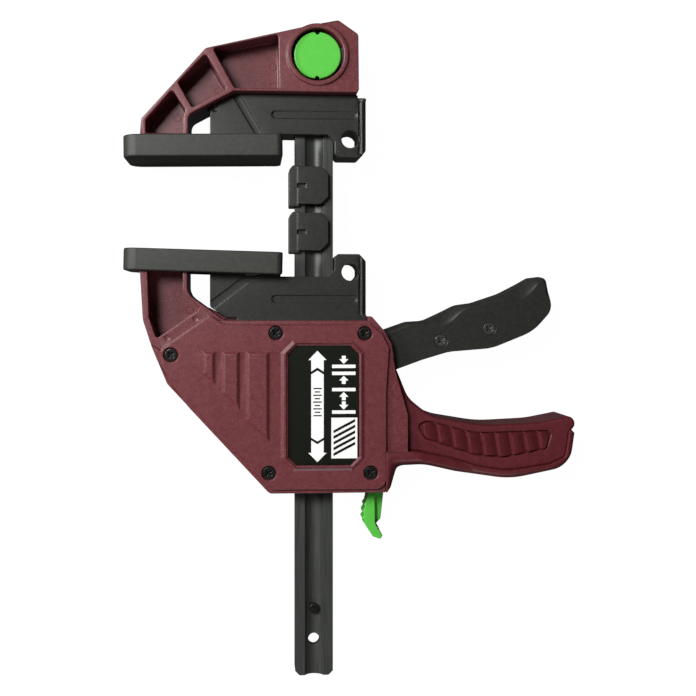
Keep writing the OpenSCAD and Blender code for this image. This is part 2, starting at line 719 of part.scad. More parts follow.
// The bevelled border round the label, a little wider at its left
module label_frame() {
    wide = label_w + 2 * frame_w + 1.2;
    long = label_len + 2 * frame_w;
    translate([label_x - 0.6, label_y, 0]) hull() {
        slab(case_z - eps, case_z) octagon(wide, long, label_cut + 2);
        slab(case_z - eps, case_z + frame_h)
            octagon(wide - 2 * frame_bevel, long - 2 * frame_bevel, label_cut + 2 - frame_bevel * 0.6);
    }
}

// Three raised louvres whose lower ends follow the housing's slope
louvre_rows = [[-62.8, 6.9, -69.6], [-52.3, 9.9, -80.4], [-39, 13.1, -95.5]];
louvre_y = -57.1;
louvre_fall = 0.96;
louvre_h = 0.9;
louvre_bevel = 1.7;

module louvre_shape(row, inset) {
    left = row[0] + inset;
    right = row[0] + row[1] - inset;
    polygon([
        [left, louvre_y - inset], [right, louvre_y - inset],
        [right, row[2] - row[1] * louvre_fall + inset * 2.35], [left, row[2] + inset * 0.43]
    ]);
}

module louvres() {
    for (row = louvre_rows) hull() {
        slab(case_z - 1, case_z) louvre_shape(row, 0);
        slab(case_z - 1, case_z + louvre_h) louvre_shape(row, louvre_bevel);
    }
}

// The raised lip along the grip's lower edge, highest where it leaves the housing's panel
module grip_lip() {
    intersection() {
        slab(0, lip_top) intersection() {
            union() {
                outline(case_outer);
                outline(grip_outer);
            }
            outline(lip_zone);
        }
        rotate([90, 0, 0]) linear_extrude(-case_low + eps) polygon(lip_slope);
    }
}

// The grip's shingled ribs, each steep at its left edge and falling away to the right
module grip_ribs() {
    intersection() {
        slab(rib_floor - 0.5, case_z) outline(grip_window);
        for (i = [0 : rib_n - 1]) translate([rib_at[0] + i * rib_pitch, rib_at[1], rib_floor])
            rotate([90, 0, rib_lean]) translate([0, 0, -rib_half]) linear_extrude(2 * rib_half) polygon([
                [0, -0.5], [0, rib_h * 0.2], [rib_pitch * 0.12, rib_h * 0.88], [rib_pitch * 0.35, rib_h],
                [rib_pitch * 0.7, rib_h * 0.7], [rib_pitch * 0.95, rib_h * 0.2], [rib_pitch * 0.95, -0.5]
            ]);
    }
}

module housing_front() {
    color(burgundy) in_jaw() housing_half(1);
}

module housing_rear() {
    color(burgundy) in_jaw() mirror([0, 0, 1]) housing_half(-1);
}

module jaw_block() {
    color(black) in_jaw() mirror([0, 1, 0]) difference() {
        union() {
            block_body(38.4, [[-44, 38.4, 0], [-50.4, 38.4, 2], [block_left, 32.2, 2]], jaw_toe);
            box(-44, block_right, 38, -tang_low - 0.02, -block_z, block_z);
        }
        block_cuts(27.8, 38.4, jaw_stripe);
        for (i = [1, 2])
            rod([case_screws[i][0], -case_screws[i][1]], screw_r + 0.3, -block_z - eps, block_z + eps);
    }
}

module jaw_pad() {
    in_jaw() mirror([0, 1, 0]) pad_solid(jaw_toe);
}

module housing_screws() {
    color(black) in_jaw() for (p = case_screws) translate([p[0], p[1], screw_top])
        cross_screw(screw_head_d / 2, screw_head_h, screw_r, screw_top + cavity_z);
}

module label_plate() {
    color(black) in_jaw() translate([label_x, label_y, 0]) slab(label_z, label_z + label_t)
        octagon(label_w, label_len, label_cut);
}

module trigger_pivot_pin() {
    color(steel) in_jaw() rod(pivot, pivot_d / 2, -cavity_z - 1.4, cavity_z + 1.4);
}

module trigger_bushes() {
    color(black) in_jaw() for (s = [0, 1]) mirror([0, 0, s]) difference() {
        rod(pivot, pivot_d / 2 + 2.4, fork_out + 0.05, fork_out + bush_t);
        rod(pivot, pivot_d / 2 + run_gap, fork_out, fork_out + bush_t + eps);
    }
}

module drive_spring() {
    color(steel) in_jaw() translate([0, seat_y + washer_t, 0]) rotate([-90, 0, 0])
        coil(drive_spring_r, spring_wire, drive_low - seat_y - washer_t - 0.05, 4);
}

module drive_spring_washer() {
    color(steel) in_jaw() translate([0, seat_y + washer_t, 0]) rotate([90, 0, 0]) linear_extrude(washer_t)
        difference() {
            circle(drive_spring_r + spring_wire / 2 + 0.2);
            square([2 * chan_x, 2 * chan_z], center = true);
        }
}

module brake_spring() {
    low = case_low + case_wall + 0.05;
    color(steel) in_jaw() translate([brake_spring_x, low, 0]) rotate([-90, 0, 0])
        coil(brake_spring_r, 0.7, brake_under(brake_spring_x - brake_spring_r) - low - 0.1, 5);
}

// Height of the brake plate's lower face at x
function brake_under(x) = fulcrum[1] + (x - fulcrum[0]) * tan(brake_tilt) - brake_t / 2 / cos(brake_tilt);

trigger_outer = [
    [33.5, -50.5, 2], [40.1, -46.2, 10], [54.8, -41, 12], [65, -40.4, 14], [84, -31.2, 16], [94, -29.9, 16],
    [110, -24.6, 30], [128.6, -14.6, 5], [133.6, -15.8, 3], [137.2, -34, 7], [126, -46.4, 16],
    [102, -56, 30], [76.9, -58, 30], [62, -62.4, 20], [46.8, -67.9, 20], [35, -73.4, 2]
];

module trigger_core() {
    color(dark_steel) in_jaw() difference() {
        union() {
            for (s = [0, 1]) mirror([0, 0, s]) slab(fork_in, fork_out) {
                translate(pivot) circle(hub_r);
                translate(nose) circle(nose_r);
                polygon(fork_outer);
            }
            slab(-fork_out, fork_out) polygon(fork_bridge);
            slab(-tongue_z, tongue_z) intersection() {
                offset(delta = -4) outline(trigger_outer);
                translate(tongue_cut) square([tongue_end - tongue_cut[0], 60]);
            }
            slab(-tongue_z, tongue_z) polygon(tongue_root);
        }
        rod(pivot, pivot_d / 2 + run_gap, -fork_out - eps, fork_out + eps);
        for (p = trigger_screw_at) rod(p, screw_r + 0.3, -tongue_z - eps, tongue_z + eps);
    }
}

module trigger_cover(side) {
    difference() {
        slab(0, cover_z) outline(trigger_outer, 8);
        slab(-eps, tongue_z + 0.02) intersection() {
            offset(delta = -3.9) outline(trigger_outer);
            translate(tongue_cut) square([tongue_end + 0.1 - tongue_cut[0], 60]);
        }
        slab(-eps, tongue_z + 0.02) offset(delta = 0.1) polygon(tongue_root);
        slab(-eps, fork_out + 0.02) polygon([[30, -40], [34.1, -46], [34.1, -78], [30, -80]]);
        for (p = trigger_screw_at) {
            rod(p, screw_r + (side > 0 ? 0.3 : 0.02), -eps, side > 0 ? cover_z + eps : cover_z - 2);
            if (side > 0) rod(p, screw_head_d / 2 + 0.1, cover_z - 2.4, cover_z + eps);
        }
    }
}

module trigger_cover_front() {
    color(black) in_jaw() trigger_cover(1);
}

module trigger_cover_rear() {
    color(black) in_jaw() mirror([0, 0, 1]) trigger_cover(-1);
}

module trigger_screws() {
    color(black) in_jaw() for (p = trigger_screw_at) translate([p[0], p[1], cover_z - 0.4])
        cross_screw(screw_head_d / 2, 2, screw_r, cover_z * 2 - 2.6);
}

module drive_plates() {
    color(steel) in_jaw() for (i = [0 : drive_plates_n - 1])
        translate([0, drive_top - i * (drive_plate_t + drive_gap), 0]) rotate([90, 0, 0])
            linear_extrude(drive_plate_t) difference() {
                square([2 * drive_x, 2 * drive_z], center = true);
                square([2 * plate_hole_x, 2 * plate_hole_z], center = true);
            }
}

module brake_plate() {
    color(steel) in_jaw() translate([fulcrum[0], fulcrum[1], 0]) rotate(brake_tilt) difference() {
        box(-1, brake_right, -brake_t / 2, brake_t / 2, -brake_z, brake_z);
        box(-fulcrum[0] - plate_hole_x, -fulcrum[0] + plate_hole_x, -brake_t, brake_t,
            -plate_hole_z, plate_hole_z);
    }
}

module release_lever() {
    color(green) in_jaw() difference() {
        union() {
            rod(lever_at, lever_hub_r, -lever_z, lever_z);
            slab(-lever_z, lever_z) translate(lever_at) outline(lever_outer);
            for (p = tooth_at) rod(lever_at + p, tooth_r, -lever_z, lever_z);
            slab(-lever_z, lever_z) {
                hull() {
                    translate(lever_nose) circle(lever_nose_r);
                    translate(lever_elbow) circle(lever_nose_r);
                }
                hull() {
                    translate(lever_elbow) circle(lever_nose_r);
                    translate(lever_at + lever_heel) circle(lever_heel_r);
                }
            }
        }
        rod(lever_at, boss_r + 0.08, -lever_z - eps, lever_z + eps);
        for (s = [0, 1]) mirror([0, 0, s])
            slab(lever_z - lever_step, lever_z + eps) translate(lever_at) polygon(lever_recess);
    }
}

bar_rail();
bar_stop_pin();
head_frame();
head_block();
head_pad();
head_rear_cap();
head_screws();
release_button();
latch_plate();
lock_pin();
button_springs();
bar_guard_upper();
bar_guard_lower();
housing_front();
housing_rear();
jaw_block();
jaw_pad();
housing_screws();
label_plate();
trigger_pivot_pin();
trigger_bushes();
drive_spring();
drive_spring_washer();
brake_spring();
trigger_core();
trigger_cover_front();
trigger_cover_rear();
trigger_screws();
drive_plates();
brake_plate();
release_lever();
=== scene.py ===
import json
import bmesh
import bpy
import numpy as np
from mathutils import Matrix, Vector

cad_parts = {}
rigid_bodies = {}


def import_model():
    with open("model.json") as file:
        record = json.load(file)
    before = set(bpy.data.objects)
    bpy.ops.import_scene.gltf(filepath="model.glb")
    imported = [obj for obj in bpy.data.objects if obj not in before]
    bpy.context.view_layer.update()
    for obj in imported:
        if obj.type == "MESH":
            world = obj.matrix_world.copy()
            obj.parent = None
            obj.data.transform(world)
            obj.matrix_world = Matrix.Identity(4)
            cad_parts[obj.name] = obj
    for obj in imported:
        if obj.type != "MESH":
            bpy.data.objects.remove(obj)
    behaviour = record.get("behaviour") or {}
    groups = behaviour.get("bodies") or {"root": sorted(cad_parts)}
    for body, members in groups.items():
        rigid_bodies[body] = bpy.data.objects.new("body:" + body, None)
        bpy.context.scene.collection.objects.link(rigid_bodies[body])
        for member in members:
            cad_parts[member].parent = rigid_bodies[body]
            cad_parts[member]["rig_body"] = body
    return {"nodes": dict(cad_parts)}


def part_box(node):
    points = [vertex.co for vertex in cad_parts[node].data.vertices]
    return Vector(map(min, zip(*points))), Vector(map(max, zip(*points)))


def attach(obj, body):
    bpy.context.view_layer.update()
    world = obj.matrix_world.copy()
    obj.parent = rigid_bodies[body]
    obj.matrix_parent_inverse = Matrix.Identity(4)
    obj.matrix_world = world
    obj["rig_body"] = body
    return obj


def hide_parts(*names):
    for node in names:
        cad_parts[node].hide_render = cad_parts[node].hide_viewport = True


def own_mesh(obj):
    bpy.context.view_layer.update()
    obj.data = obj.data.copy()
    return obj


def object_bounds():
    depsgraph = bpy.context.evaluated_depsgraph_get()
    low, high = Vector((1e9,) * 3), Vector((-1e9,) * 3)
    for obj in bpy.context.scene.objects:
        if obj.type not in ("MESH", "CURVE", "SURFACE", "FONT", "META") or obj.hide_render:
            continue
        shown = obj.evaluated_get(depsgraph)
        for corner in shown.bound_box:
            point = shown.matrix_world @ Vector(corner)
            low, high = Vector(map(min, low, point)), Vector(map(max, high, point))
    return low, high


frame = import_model()
cad_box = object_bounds()


# ---- Bar ----
# A cold-drawn I-section of mild steel, phosphated dark grey and oiled. Its rolled faces keep faint
# draw marks along the length, and a riveted pin near the free end stops the carriage.

def linear(colour):
    """sRGB hex to linear: c / 12.92 below 0.04045, else ((c + 0.055) / 1.055) to the power 2.4."""
    c = np.array([int(colour[k:k + 2], 16) for k in (1, 3, 5)]) / 255
    return (*np.where(c <= 0.04045, c / 12.92, ((c + 0.055) / 1.055) ** 2.4), 1.0)


def add(material, kind, inputs=(), **settings):
    """Adds a node. Settings are its properties; each input is a value, or another node and its
    output."""
    tree = material.node_tree
    node = tree.nodes.new("ShaderNode" + kind)
    for name, value in settings.items():
        setattr(node, name, value)
    for name, value in dict(inputs).items():
        if isinstance(value, tuple) and isinstance(value[0], bpy.types.Node):
            tree.links.new(value[0].outputs[value[1]], node.inputs[name])
        else:
            node.inputs[name].default_value = value
    return node


def mottled(name, low, high, grain_mm, bump, stretch=(1, 1, 1), specks=None, **sockets):
    """A named finish: colour wanders between two hex values over a grain size in mm, and the grain
    lifts the surface. The factor is the sum of a coarse noise (4 grains across) and a fine one
    (1 grain across).

    specks is a third hex value for the brightest grains of another fine noise, such as glass ends
    at the skin. The plain values go on the shader's own sockets, with spaces for underscores."""
    material = bpy.data.materials.new(name)
    material.use_nodes = True
    tree = material.node_tree
    shader = tree.nodes["Principled BSDF"]
    for socket, value in sockets.items():
        shader.inputs[socket.replace("_", " ")].default_value = value
    place = add(material, "TexCoord")
    spot = add(material, "Mapping", {"Vector": (place, "Object"), "Scale": stretch})
    fine = add(material, "TexNoise",
               {"Vector": (spot, "Vector"), "Scale": 1000 / grain_mm, "Detail": 2.0})
    broad = add(material, "TexNoise",
                {"Vector": (spot, "Vector"), "Scale": 250 / grain_mm, "Detail": 3.0})
    both = add(material, "Math", {0: (fine, 0), 1: (broad, 0)}, operation="ADD")
    share = add(material, "MapRange", {"Value": (both, 0), "From Min": 0.72, "From Max": 1.28})
    paint = add(material, "Mix", {0: (share, 0), 6: linear(low), 7: linear(high)},
                data_type="RGBA")
    if specks:
        speck_mm = 0.42
        grit = add(material, "TexNoise",
                   {"Vector": (spot, "Vector"), "Scale": 1000 / speck_mm, "Detail": 1.0})
        few = add(material, "MapRange", {"Value": (grit, 0), "From Min": 0.60, "From Max": 0.78})
        paint = add(material, "Mix", {0: (few, 0), 6: (paint, 2), 7: linear(specks)},
                    data_type="RGBA")
    relief = add(material, "Bump", {"Height": (fine, 0), "Distance": bump, "Strength": 0.6})
    tree.links.new(paint.outputs[2], shader.inputs["Base Color"])
    tree.links.new(relief.outputs[0], shader.inputs["Normal"])
    return material


def hang(piece, material, body, nodes):
    """Gives a piece its finish and its body, and hides the CAD nodes that it stands for."""
    piece.data.materials.clear()
    piece.data.materials.append(material)
    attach(piece, body)
    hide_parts(*nodes)
    return piece


def round_off(piece, width, segments=2, angle=24, crisp=None):
    """Rounds every edge sharper than the angle by a bevel of this width in mm, and evens the flat
    faces' shading. Edges between the crisp angle and that one stay as they are, with a hard
    line."""
    if crisp:
        work = bmesh.new()
        work.from_mesh(piece.data)
        for edge in work.edges:
            turn = edge.calc_face_angle(0)
            edge.smooth = not np.radians(crisp) < turn < np.radians(angle)
        work.to_mesh(piece.data)
        work.free()
    edges = piece.modifiers.new("round_edges", "BEVEL")
    edges.width = width / 1000
    edges.segments = segments
    edges.limit_method = "ANGLE"
    edges.angle_limit = np.radians(angle)
    edges.use_clamp_overlap = False
    edges.loop_slide = False
    even = piece.modifiers.new("even_light", "WEIGHTED_NORMAL")
    even.mode = "FACE_AREA"
    even.weight = 90
    even.keep_sharp = True


def dress(node, material, bevel=0.4, segments=2, shape=None):
    """Stands a smooth copy in for a CAD solid: doubles merged, cut or trimmed by shape(bmesh),
    edges rounded."""
    source = frame["nodes"][node]
    mesh = bpy.data.meshes.new(node + "_dressed")
    work = bmesh.new()
    work.from_mesh(source.data)
    bmesh.ops.remove_doubles(work, verts=work.verts, dist=2e-6)
    if shape:
        shape(work)
    work.to_mesh(mesh)
    work.free()
    mesh.shade_smooth()
    piece = bpy.data.objects.new(node + "_dressed", mesh)
    bpy.context.scene.collection.objects.link(piece)
    round_off(piece, bevel, segments)
    return hang(piece, material, source["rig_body"], [node])


# Dark grey phosphate on drawn steel, its grain drawn out 25 times along the bar.
bar_steel = mottled("phosphated_drawn_steel", "#363835", "#474945", 0.9, 0.00004, (1, 0.04, 1),
                    Metallic=0.25, Roughness=0.42)
# Chemically blackened screws, with a dull shine.
black_steel = mottled("blackened_screw_steel", "#1c1c1b", "#2c2c2b", 0.4, 0.00002,
                      Metallic=0.5, Roughness=0.3)
dress("bar_rail", bar_steel, 0.14)
dress("bar_stop_pin", black_steel, 0.3)


# ---- Head frame ----
# The fixed jaw's frame: glass-filled nylon, moulded burgundy, with three pockets on each side and
# a raised ring for the button. Ejector pins left small rings on the pocket floors. Speckle is the
# glass at the skin, and in part painted glints.

head_y = 275
# Burgundy nylon with pale glass ends at the skin. Its tone, paler than the grip's copy, carries
# painted sheen, and its pale specks are in part painted glints.
burgundy = mottled("glass_filled_nylon_burgundy", "#5c262b", "#6e353a", 0.7, 0.00006,
                   specks="#906a6b", Roughness=0.36, Specular_IOR_Level=0.5)
dress("head_frame", burgundy, 0.6, 3)
dress("head_rear_cap", burgundy, 0.4)
dress("head_screws", black_steel, 0.15)


def mesh_piece(name, points, faces, sharp=35):
    """A mesh from points in mm and faces: doubles merged, faces turned outwards, edges past the
    angle kept sharp."""
    mesh = bpy.data.meshes.new(name)
    mesh.from_pydata(np.asarray(points) / 1000, [], [list(map(int, f)) for f in faces])
    work = bmesh.new()
    work.from_mesh(mesh)
    bmesh.ops.remove_doubles(work, verts=work.verts, dist=1e-6)
    bmesh.ops.recalc_face_normals(work, faces=work.faces)
    work.to_mesh(mesh)
    work.free()
    mesh.shade_smooth()
    mesh.set_sharp_from_angle(angle=np.radians(sharp))
    piece = bpy.data.objects.new(name, mesh)
    bpy.context.scene.collection.objects.link(piece)
    return piece


def grid_faces(rows, columns, around=True, across=False):
    """Quads of a rows by columns grid of points, closed along its columns and, when across, its
    rows."""
    j, i = np.meshgrid(np.arange(columns if around else columns - 1),
                       np.arange(rows if across else rows - 1))
    at = lambda a, b: (a % rows) * columns + b % columns
    return np.stack([at(i, j), at(i, j + 1), at(i + 1, j + 1), at(i + 1, j)], 2).reshape(-1, 4)


def ejector_rings(name, centres, floor, material, slot, body, *nodes):
    """Low rings on both sides' floors: a torus of radius ring_r and wire radius wire_r, half sunk,
    at each centre."""
    ring_r, wire_r, around, sides = 2.0, 0.28, 28, 6
    a = np.linspace(0, 2 * np.pi, around, endpoint=False)
    b = np.linspace(0, 2 * np.pi, sides, endpoint=False)
    reach = ring_r + wire_r * np.cos(b)[None, :]
    one = np.stack([reach * np.cos(a)[:, None], reach * np.sin(a)[:, None],
                    np.broadcast_to(wire_r * np.sin(b), (around, sides))], 2).reshape(-1, 3)
    spots = np.array([(x, y, side * floor) for x, y in centres for side in (-1, 1)], float)
    points = (spots[:, None] + one[None]).reshape(-1, 3)
    faces = grid_faces(around, sides, True, True)
    every = (np.arange(len(spots))[:, None, None] * len(one) + faces[None]).reshape(-1, 4)
    return hang(mesh_piece(name, points, every), material, body, nodes)


pocket_floor = 3
head_ring_spots = [(-77.9, head_y + 24.8), (-54.8, head_y + 40.6), (-23.9, head_y + 54.8),
                   (-23.6, head_y + 43.9)]
ejector_rings("head_ejector_rings", head_ring_spots, pocket_floor, burgundy, "burgundy_nylon",
              "bar_and_head", "head_frame")


# ---- Head block and pad ----
# The block behind the pad is black glass-filled nylon, finely spark-textured; the pad is a soft
# black thermoplastic rubber pushed on to a foot plate, matt.

# Black nylon with a fine spark texture.
nylon = mottled("glass_filled_nylon_black", "#242421", "#2e2e2b", 0.6, 0.00004,
                Roughness=0.35, Specular_IOR_Level=0.5)
# Soft black rubber, duller than the nylon.
rubber = mottled("moulded_rubber", "#2d2e2a", "#393a35", 0.6, 0.00005,
                 Roughness=0.5, Specular_IOR_Level=0.35)
dress("head_block", nylon, 0.5)
dress("head_pad", rubber, 0.9, 3)


# ---- Release button ----
# A green acetal cap on a black carrier. Pressed in, it lets the head slide off the bar: two legs
# push a steel plate behind the bar, which pulls the lock pin out of the web. Two light springs
# lift it again.

# Bright green acetal, coloured through and nearly even.
green = mottled("green_acetal", "#58c044", "#5ec64a", 0.8, 0.00001,
                Roughness=0.3, Specular_IOR_Level=0.5)
# Bare ground steel inside the clamp.
bright_steel = mottled("ground_steel", "#8f9092", "#a9aaac", 0.5, 0.00002,
                       Metallic=1.0, Roughness=0.3)
cap_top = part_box("release_button")[1][2] * 1000
cap_deep, cap_r, cap_x, cap_y = 2.5, 13.2, 1.2, head_y + 58.5
cap_fillet, cap_nick = 0.6, 1.4


def button_cap():
    """A disc turned from the profile: crowned top, quarter-round edge, flat wall, flat underside.

    Its radius at an angle is cap_r, less sqrt(cap_nick^2 - s^2) where s, the arc to the top or
    bottom, is under cap_nick."""
    count = 240
    turn = np.linspace(0, 2 * np.pi, count, endpoint=False)
    arc = cap_r * (np.abs((turn % np.pi) - np.pi / 2))
    edge = cap_r - np.sqrt(np.clip(cap_nick ** 2 - arc ** 2, 0, None))
    bend = np.linspace(0, np.pi / 2, 6)
    in_by = np.concatenate([[cap_fillet], cap_fillet * (1 - np.sin(bend[::-1])), [0, 0.3]])
    z = np.concatenate([[cap_top - 0.02],
                        cap_top - cap_fillet * (1 - np.cos(bend[::-1])) - 0.05,
                        [cap_top - cap_deep, cap_top - cap_deep]])
    keep = np.array([0, 0.3, 0.6, 0.85])
    inner = keep[:, None] * (edge[None, :] - cap_fillet)
    reach = np.vstack([inner, edge[None, :] - in_by[:, None], np.zeros((1, count))])
    height = np.concatenate([cap_top - 0.02 * keep ** 2, z, [cap_top - cap_deep]])
    points = np.stack([cap_x + reach * np.cos(turn), cap_y + reach * np.sin(turn),
                       np.broadcast_to(height[:, None], reach.shape)], 2).reshape(-1, 3)
    return mesh_piece("button_cap", points, grid_faces(len(height), count))


hang(button_cap(), green, "button", ["release_button"])


def below_cap(work):
    """Keeps only the carrier under the cap, closed again where it was cut."""
    cut = bmesh.ops.bisect_plane(
        work, geom=work.verts[:] + work.edges[:] + work.faces[:], clear_outer=True,
        plane_co=(0, 0, (cap_top - cap_deep) / 1000 - 2e-5), plane_no=(0, 0, 1))
    rim = [e for e in cut["geom_cut"] if isinstance(e, bmesh.types.BMEdge)]
    bmesh.ops.holes_fill(work, edges=rim)


dress("release_button", nylon, 0.2, shape=below_cap)
dress("latch_plate", bright_steel, 0.2)
dress("lock_pin", bright_steel, 0.2)


def coil(r, wire, length, turns):
    """A coil spring along +Z: a circle of the wire's radius carried along a helix of radius r, its
    ends closed.

    The helix rises evenly, (length - wire) / turns to a turn, and starts half a wire above
    zero."""
    steps, sides = round(turns * 40), 10
    a = np.linspace(0, turns * 2 * np.pi, steps)[:, None]
    b = np.linspace(0, 2 * np.pi, sides, endpoint=False)[None, :]
    reach = r + wire / 2 * np.cos(b)
    z = wire / 2 + (length - wire) * a / (turns * 2 * np.pi) + wire / 2 * np.sin(b)
    points = np.stack([reach * np.cos(a), reach * np.sin(a), z], 2).reshape(-1, 3)
    ends = [np.arange(sides)[::-1], (steps - 1) * sides + np.arange(sides)]
    return points, list(grid_faces(steps, sides)) + ends


spring_low, spring_long = -4.0, 15.8
one_leg, leg_faces = coil(1.75, 0.5, spring_long, 6)
leg_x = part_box("button_springs")[1][0] * 1000 - 2.0
both_legs = np.vstack([one_leg + [side * leg_x, cap_y, spring_low] for side in (-1, 1)])
faces = leg_faces + [f + len(one_leg) for f in leg_faces]
button_springs = mesh_piece("button_spring_coils", both_legs, faces)
hang(button_springs, bright_steel, "bar_and_head", ["button_springs"])
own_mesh(button_springs)


# ---- Bar guards ----
# Two black nylon clips that ride on the bar and keep glue off it. Each hooks on from the left.

dress("bar_guard_upper", nylon, 0.35)
dress("bar_guard_lower", nylon, 0.35)


# ---- Housing ----
# The carriage's two shells: the same burgundy nylon as the head, screwed together with five black
# screws.

jaw_y = 224


def rounded(corners, steps=8):
    """A closed outline through corners (x, y, r): each becomes an arc of radius r that touches
    both its sides.

    The arc's centre lies r / sin(half the corner's angle) along its bisector."""
    c = np.array(corners, float)
    p, r = c[:, :2], c[:, 2:]
    u, v = np.roll(p, 1, 0) - p, np.roll(p, -1, 0) - p
    u = u / np.linalg.norm(u, axis=1, keepdims=True)
    v = v / np.linalg.norm(v, axis=1, keepdims=True)
    half = np.arccos(np.clip((u * v).sum(1, keepdims=True), -1, 1)) / 2
    middle = p + (u + v) / np.linalg.norm(u + v, axis=1, keepdims=True) * r / np.sin(half)
    start, end = p + u * r / np.tan(half) - middle, p + v * r / np.tan(half) - middle
    turn = np.arctan2(start[:, 0] * end[:, 1] - start[:, 1] * end[:, 0], (start * end).sum(1))
    t = turn[:, None] * np.linspace(0, 1, steps + 1)
    x = middle[:, :1] + start[:, :1] * np.cos(t) - start[:, 1:] * np.sin(t)
    y = middle[:, 1:] + start[:, :1] * np.sin(t) + start[:, 1:] * np.cos(t)
    ring = np.stack([x, y], 2).reshape(-1, 2)
    return ring[np.linalg.norm(ring - np.roll(ring, 1, 0), axis=1) > 1e-6]


def evenly(ring, count, closed=True):
    """The outline's points again, at equal steps of its length."""
    line = np.vstack([ring, ring[:1]]) if closed else np.asarray(ring, float)
    walked = np.concatenate([[0], np.cumsum(np.linalg.norm(np.diff(line, axis=0), axis=1))])
    at = np.linspace(0, walked[-1], count, endpoint=not closed)
    return np.stack([np.interp(at, walked, line[:, k]) for k in (0, 1)], 1)


def prism(name, outline, low, high):
    """A closed prism over an outline in mm from the moving jaw's face, between two heights."""
    flat = np.array(outline, float) + [0, jaw_y]
    n = len(flat)
    points = np.hstack([np.vstack([flat, flat]), np.repeat([[low], [high]], n, 0)])
    ends = [np.arange(n)[::-1], n + np.arange(n)]
    return mesh_piece(name, points, list(grid_faces(2, n)) + ends)


def carve(piece, outlines, split=False):
    """Cuts prisms out of a piece: each is a closed outline in mm with its lowest and highest z.
    With split, the many-sided faces that this leaves are cut into triangles."""
    for outline, low, high in outlines:
        tool = prism("tool", outline, low, high)
        cut = piece.modifiers.new("cut", "BOOLEAN")
        cut.object = tool
        cut.solver = "EXACT"
        bpy.context.view_layer.update()
        depsgraph = bpy.context.evaluated_depsgraph_get()
        done = bpy.data.meshes.new_from_object(piece.evaluated_get(depsgraph))
        piece.modifiers.remove(cut)
        work = bmesh.new()
        work.from_mesh(done)
        bmesh.ops.remove_doubles(work, verts=work.verts, dist=2e-6)
        if split:
            wide = [f for f in work.faces if len(f.verts) > 4]
            bmesh.ops.triangulate(work, faces=wide, ngon_method="EAR_CLIP")
        work.to_mesh(done)
        work.free()
        piece.data = done
        bpy.data.objects.remove(tool)
    return piece


# The same nylon, a darker copy for the grip: its deeper colour is painted shade, where the panel
# shows painted sheen. It is moulded smooth, without the pale specks.
shaded_burgundy = mottled("glass_filled_nylon_burgundy_shaded", "#51191f", "#62242b", 0.7,
                          0.00003, Roughness=0.42, Specular_IOR_Level=0.5)
grip_low, grip_top = 12.7, 15.0
cut_line = rounded([(39.5, -114, 0), (52.25, -114, 0), (52.25, -93, 12), (45.25, -69, 14),
                    (43.9, -61, 0), (160, -61, 0), (160, -145, 0), (39.5, -145, 0)])
for side, node in ((1, "housing_front"), (-1, "housing_rear")):
    shell = dress(node, burgundy, 0.45)
    shell.modifiers.clear()
    carve(shell, [(cut_line, *sorted((side * (grip_low + 0.5), side * 30)))], True)
    round_off(shell, 0.35, angle=36, crisp=19)


# A thin shelf closes the gap that is left under the jaw block's left end.
shelf_line = [(-51.5, -38.95), (-38, -38.95), (-38, -38.43), (-51.2, -38.43)]
under_block = prism("block_shelf", shelf_line, -9, 9)
hang(under_block, burgundy, "carriage", ["housing_front"])


def reach_to(points, line):
    """Each point's distance to an open polyline: the least over its segments of
    |p - (a + t (b - a))|, with t the projection held between 0 and 1."""
    a, run = line[:-1], np.diff(line, axis=0)
    off = points[:, None] - a[None]
    t = np.clip((off * run).sum(2) / (run ** 2).sum(1), 0, 1)
    return np.sqrt((((off - t[..., None] * run) ** 2).sum(2)).min(1))


def inside(points, ring):
    """True where a ray to the right crosses the closed ring an odd number of times."""
    a, b = ring, np.roll(ring, -1, 0)
    x, y = points[:, :1], points[:, 1:]
    spans = (a[:, 1] > y) != (b[:, 1] > y)
    rise = np.where(b[:, 1] == a[:, 1], 1, b[:, 1] - a[:, 1])
    cross = a[:, 0] + (y - a[:, 1]) / rise * (b[:, 0] - a[:, 0])
    return (spans & (x < cross)).sum(1) % 2 == 1


grip_line = rounded([(30, -136.8, 0), (42.2, -136.8, 5), (46.4, -123, 4), (50.1, -122.26, 0.3),
                     (62, -121.8, 30), (80, -126, 40), (112, -130.8, 50), (146.8, -123.8, 14),
                     (149.6, -104.6, 0.8), (147.6, -102.4, 0.4), (149.7, -100.6, 0.8),
                     (150, -94.4, 4), (128, -98.6, 60), (98, -100, 70), (66, -94.6, 30),
                     (53, -84, 16), (43.6, -61.2, 0), (30, -61.2, 0)])
# Where the grip's outline starts, turns in, and meets the notch at its tip.
notch, lip_end, turn_in, grip_start = (
    int(np.argmin(np.linalg.norm(grip_line - spot, axis=1)))
    for spot in ([147.7, -102.5], [149.0, -104.2], [50.1, -122.2], [43.6, -61.2]))
lip_start = int(np.argmax(grip_line[:, 0] > 40.1))
lip_line = rounded([(39.5, -113.7, 0), (57, -113.9, 20), (76, -117.8, 30), (93, -123.2, 30),
                    (110, -126, 40), (134.6, -122.4, 9), (143.8, -118.2, 4), (145.9, -103.8, 0),
                    (100, -60, 0)])[:-1]
finger_window = rounded([(58.2, -99.6, 2), (64, -96.8, 8), (92, -104, 40), (136.6, -102.8, 2.5),
                         (133, -113.8, 3), (108, -118.6, 20), (92, -117, 20), (62.6, -107.4, 3)])
window_deep, window_side, groove_deep, edge_r = 1.6, 0.35, 0.8, 2
rib_place, rib_pitch, rib_slope = (62.8, -111), 8.27, np.tan(np.radians(9.6))
rib_high, rib_count = 2.6, 9


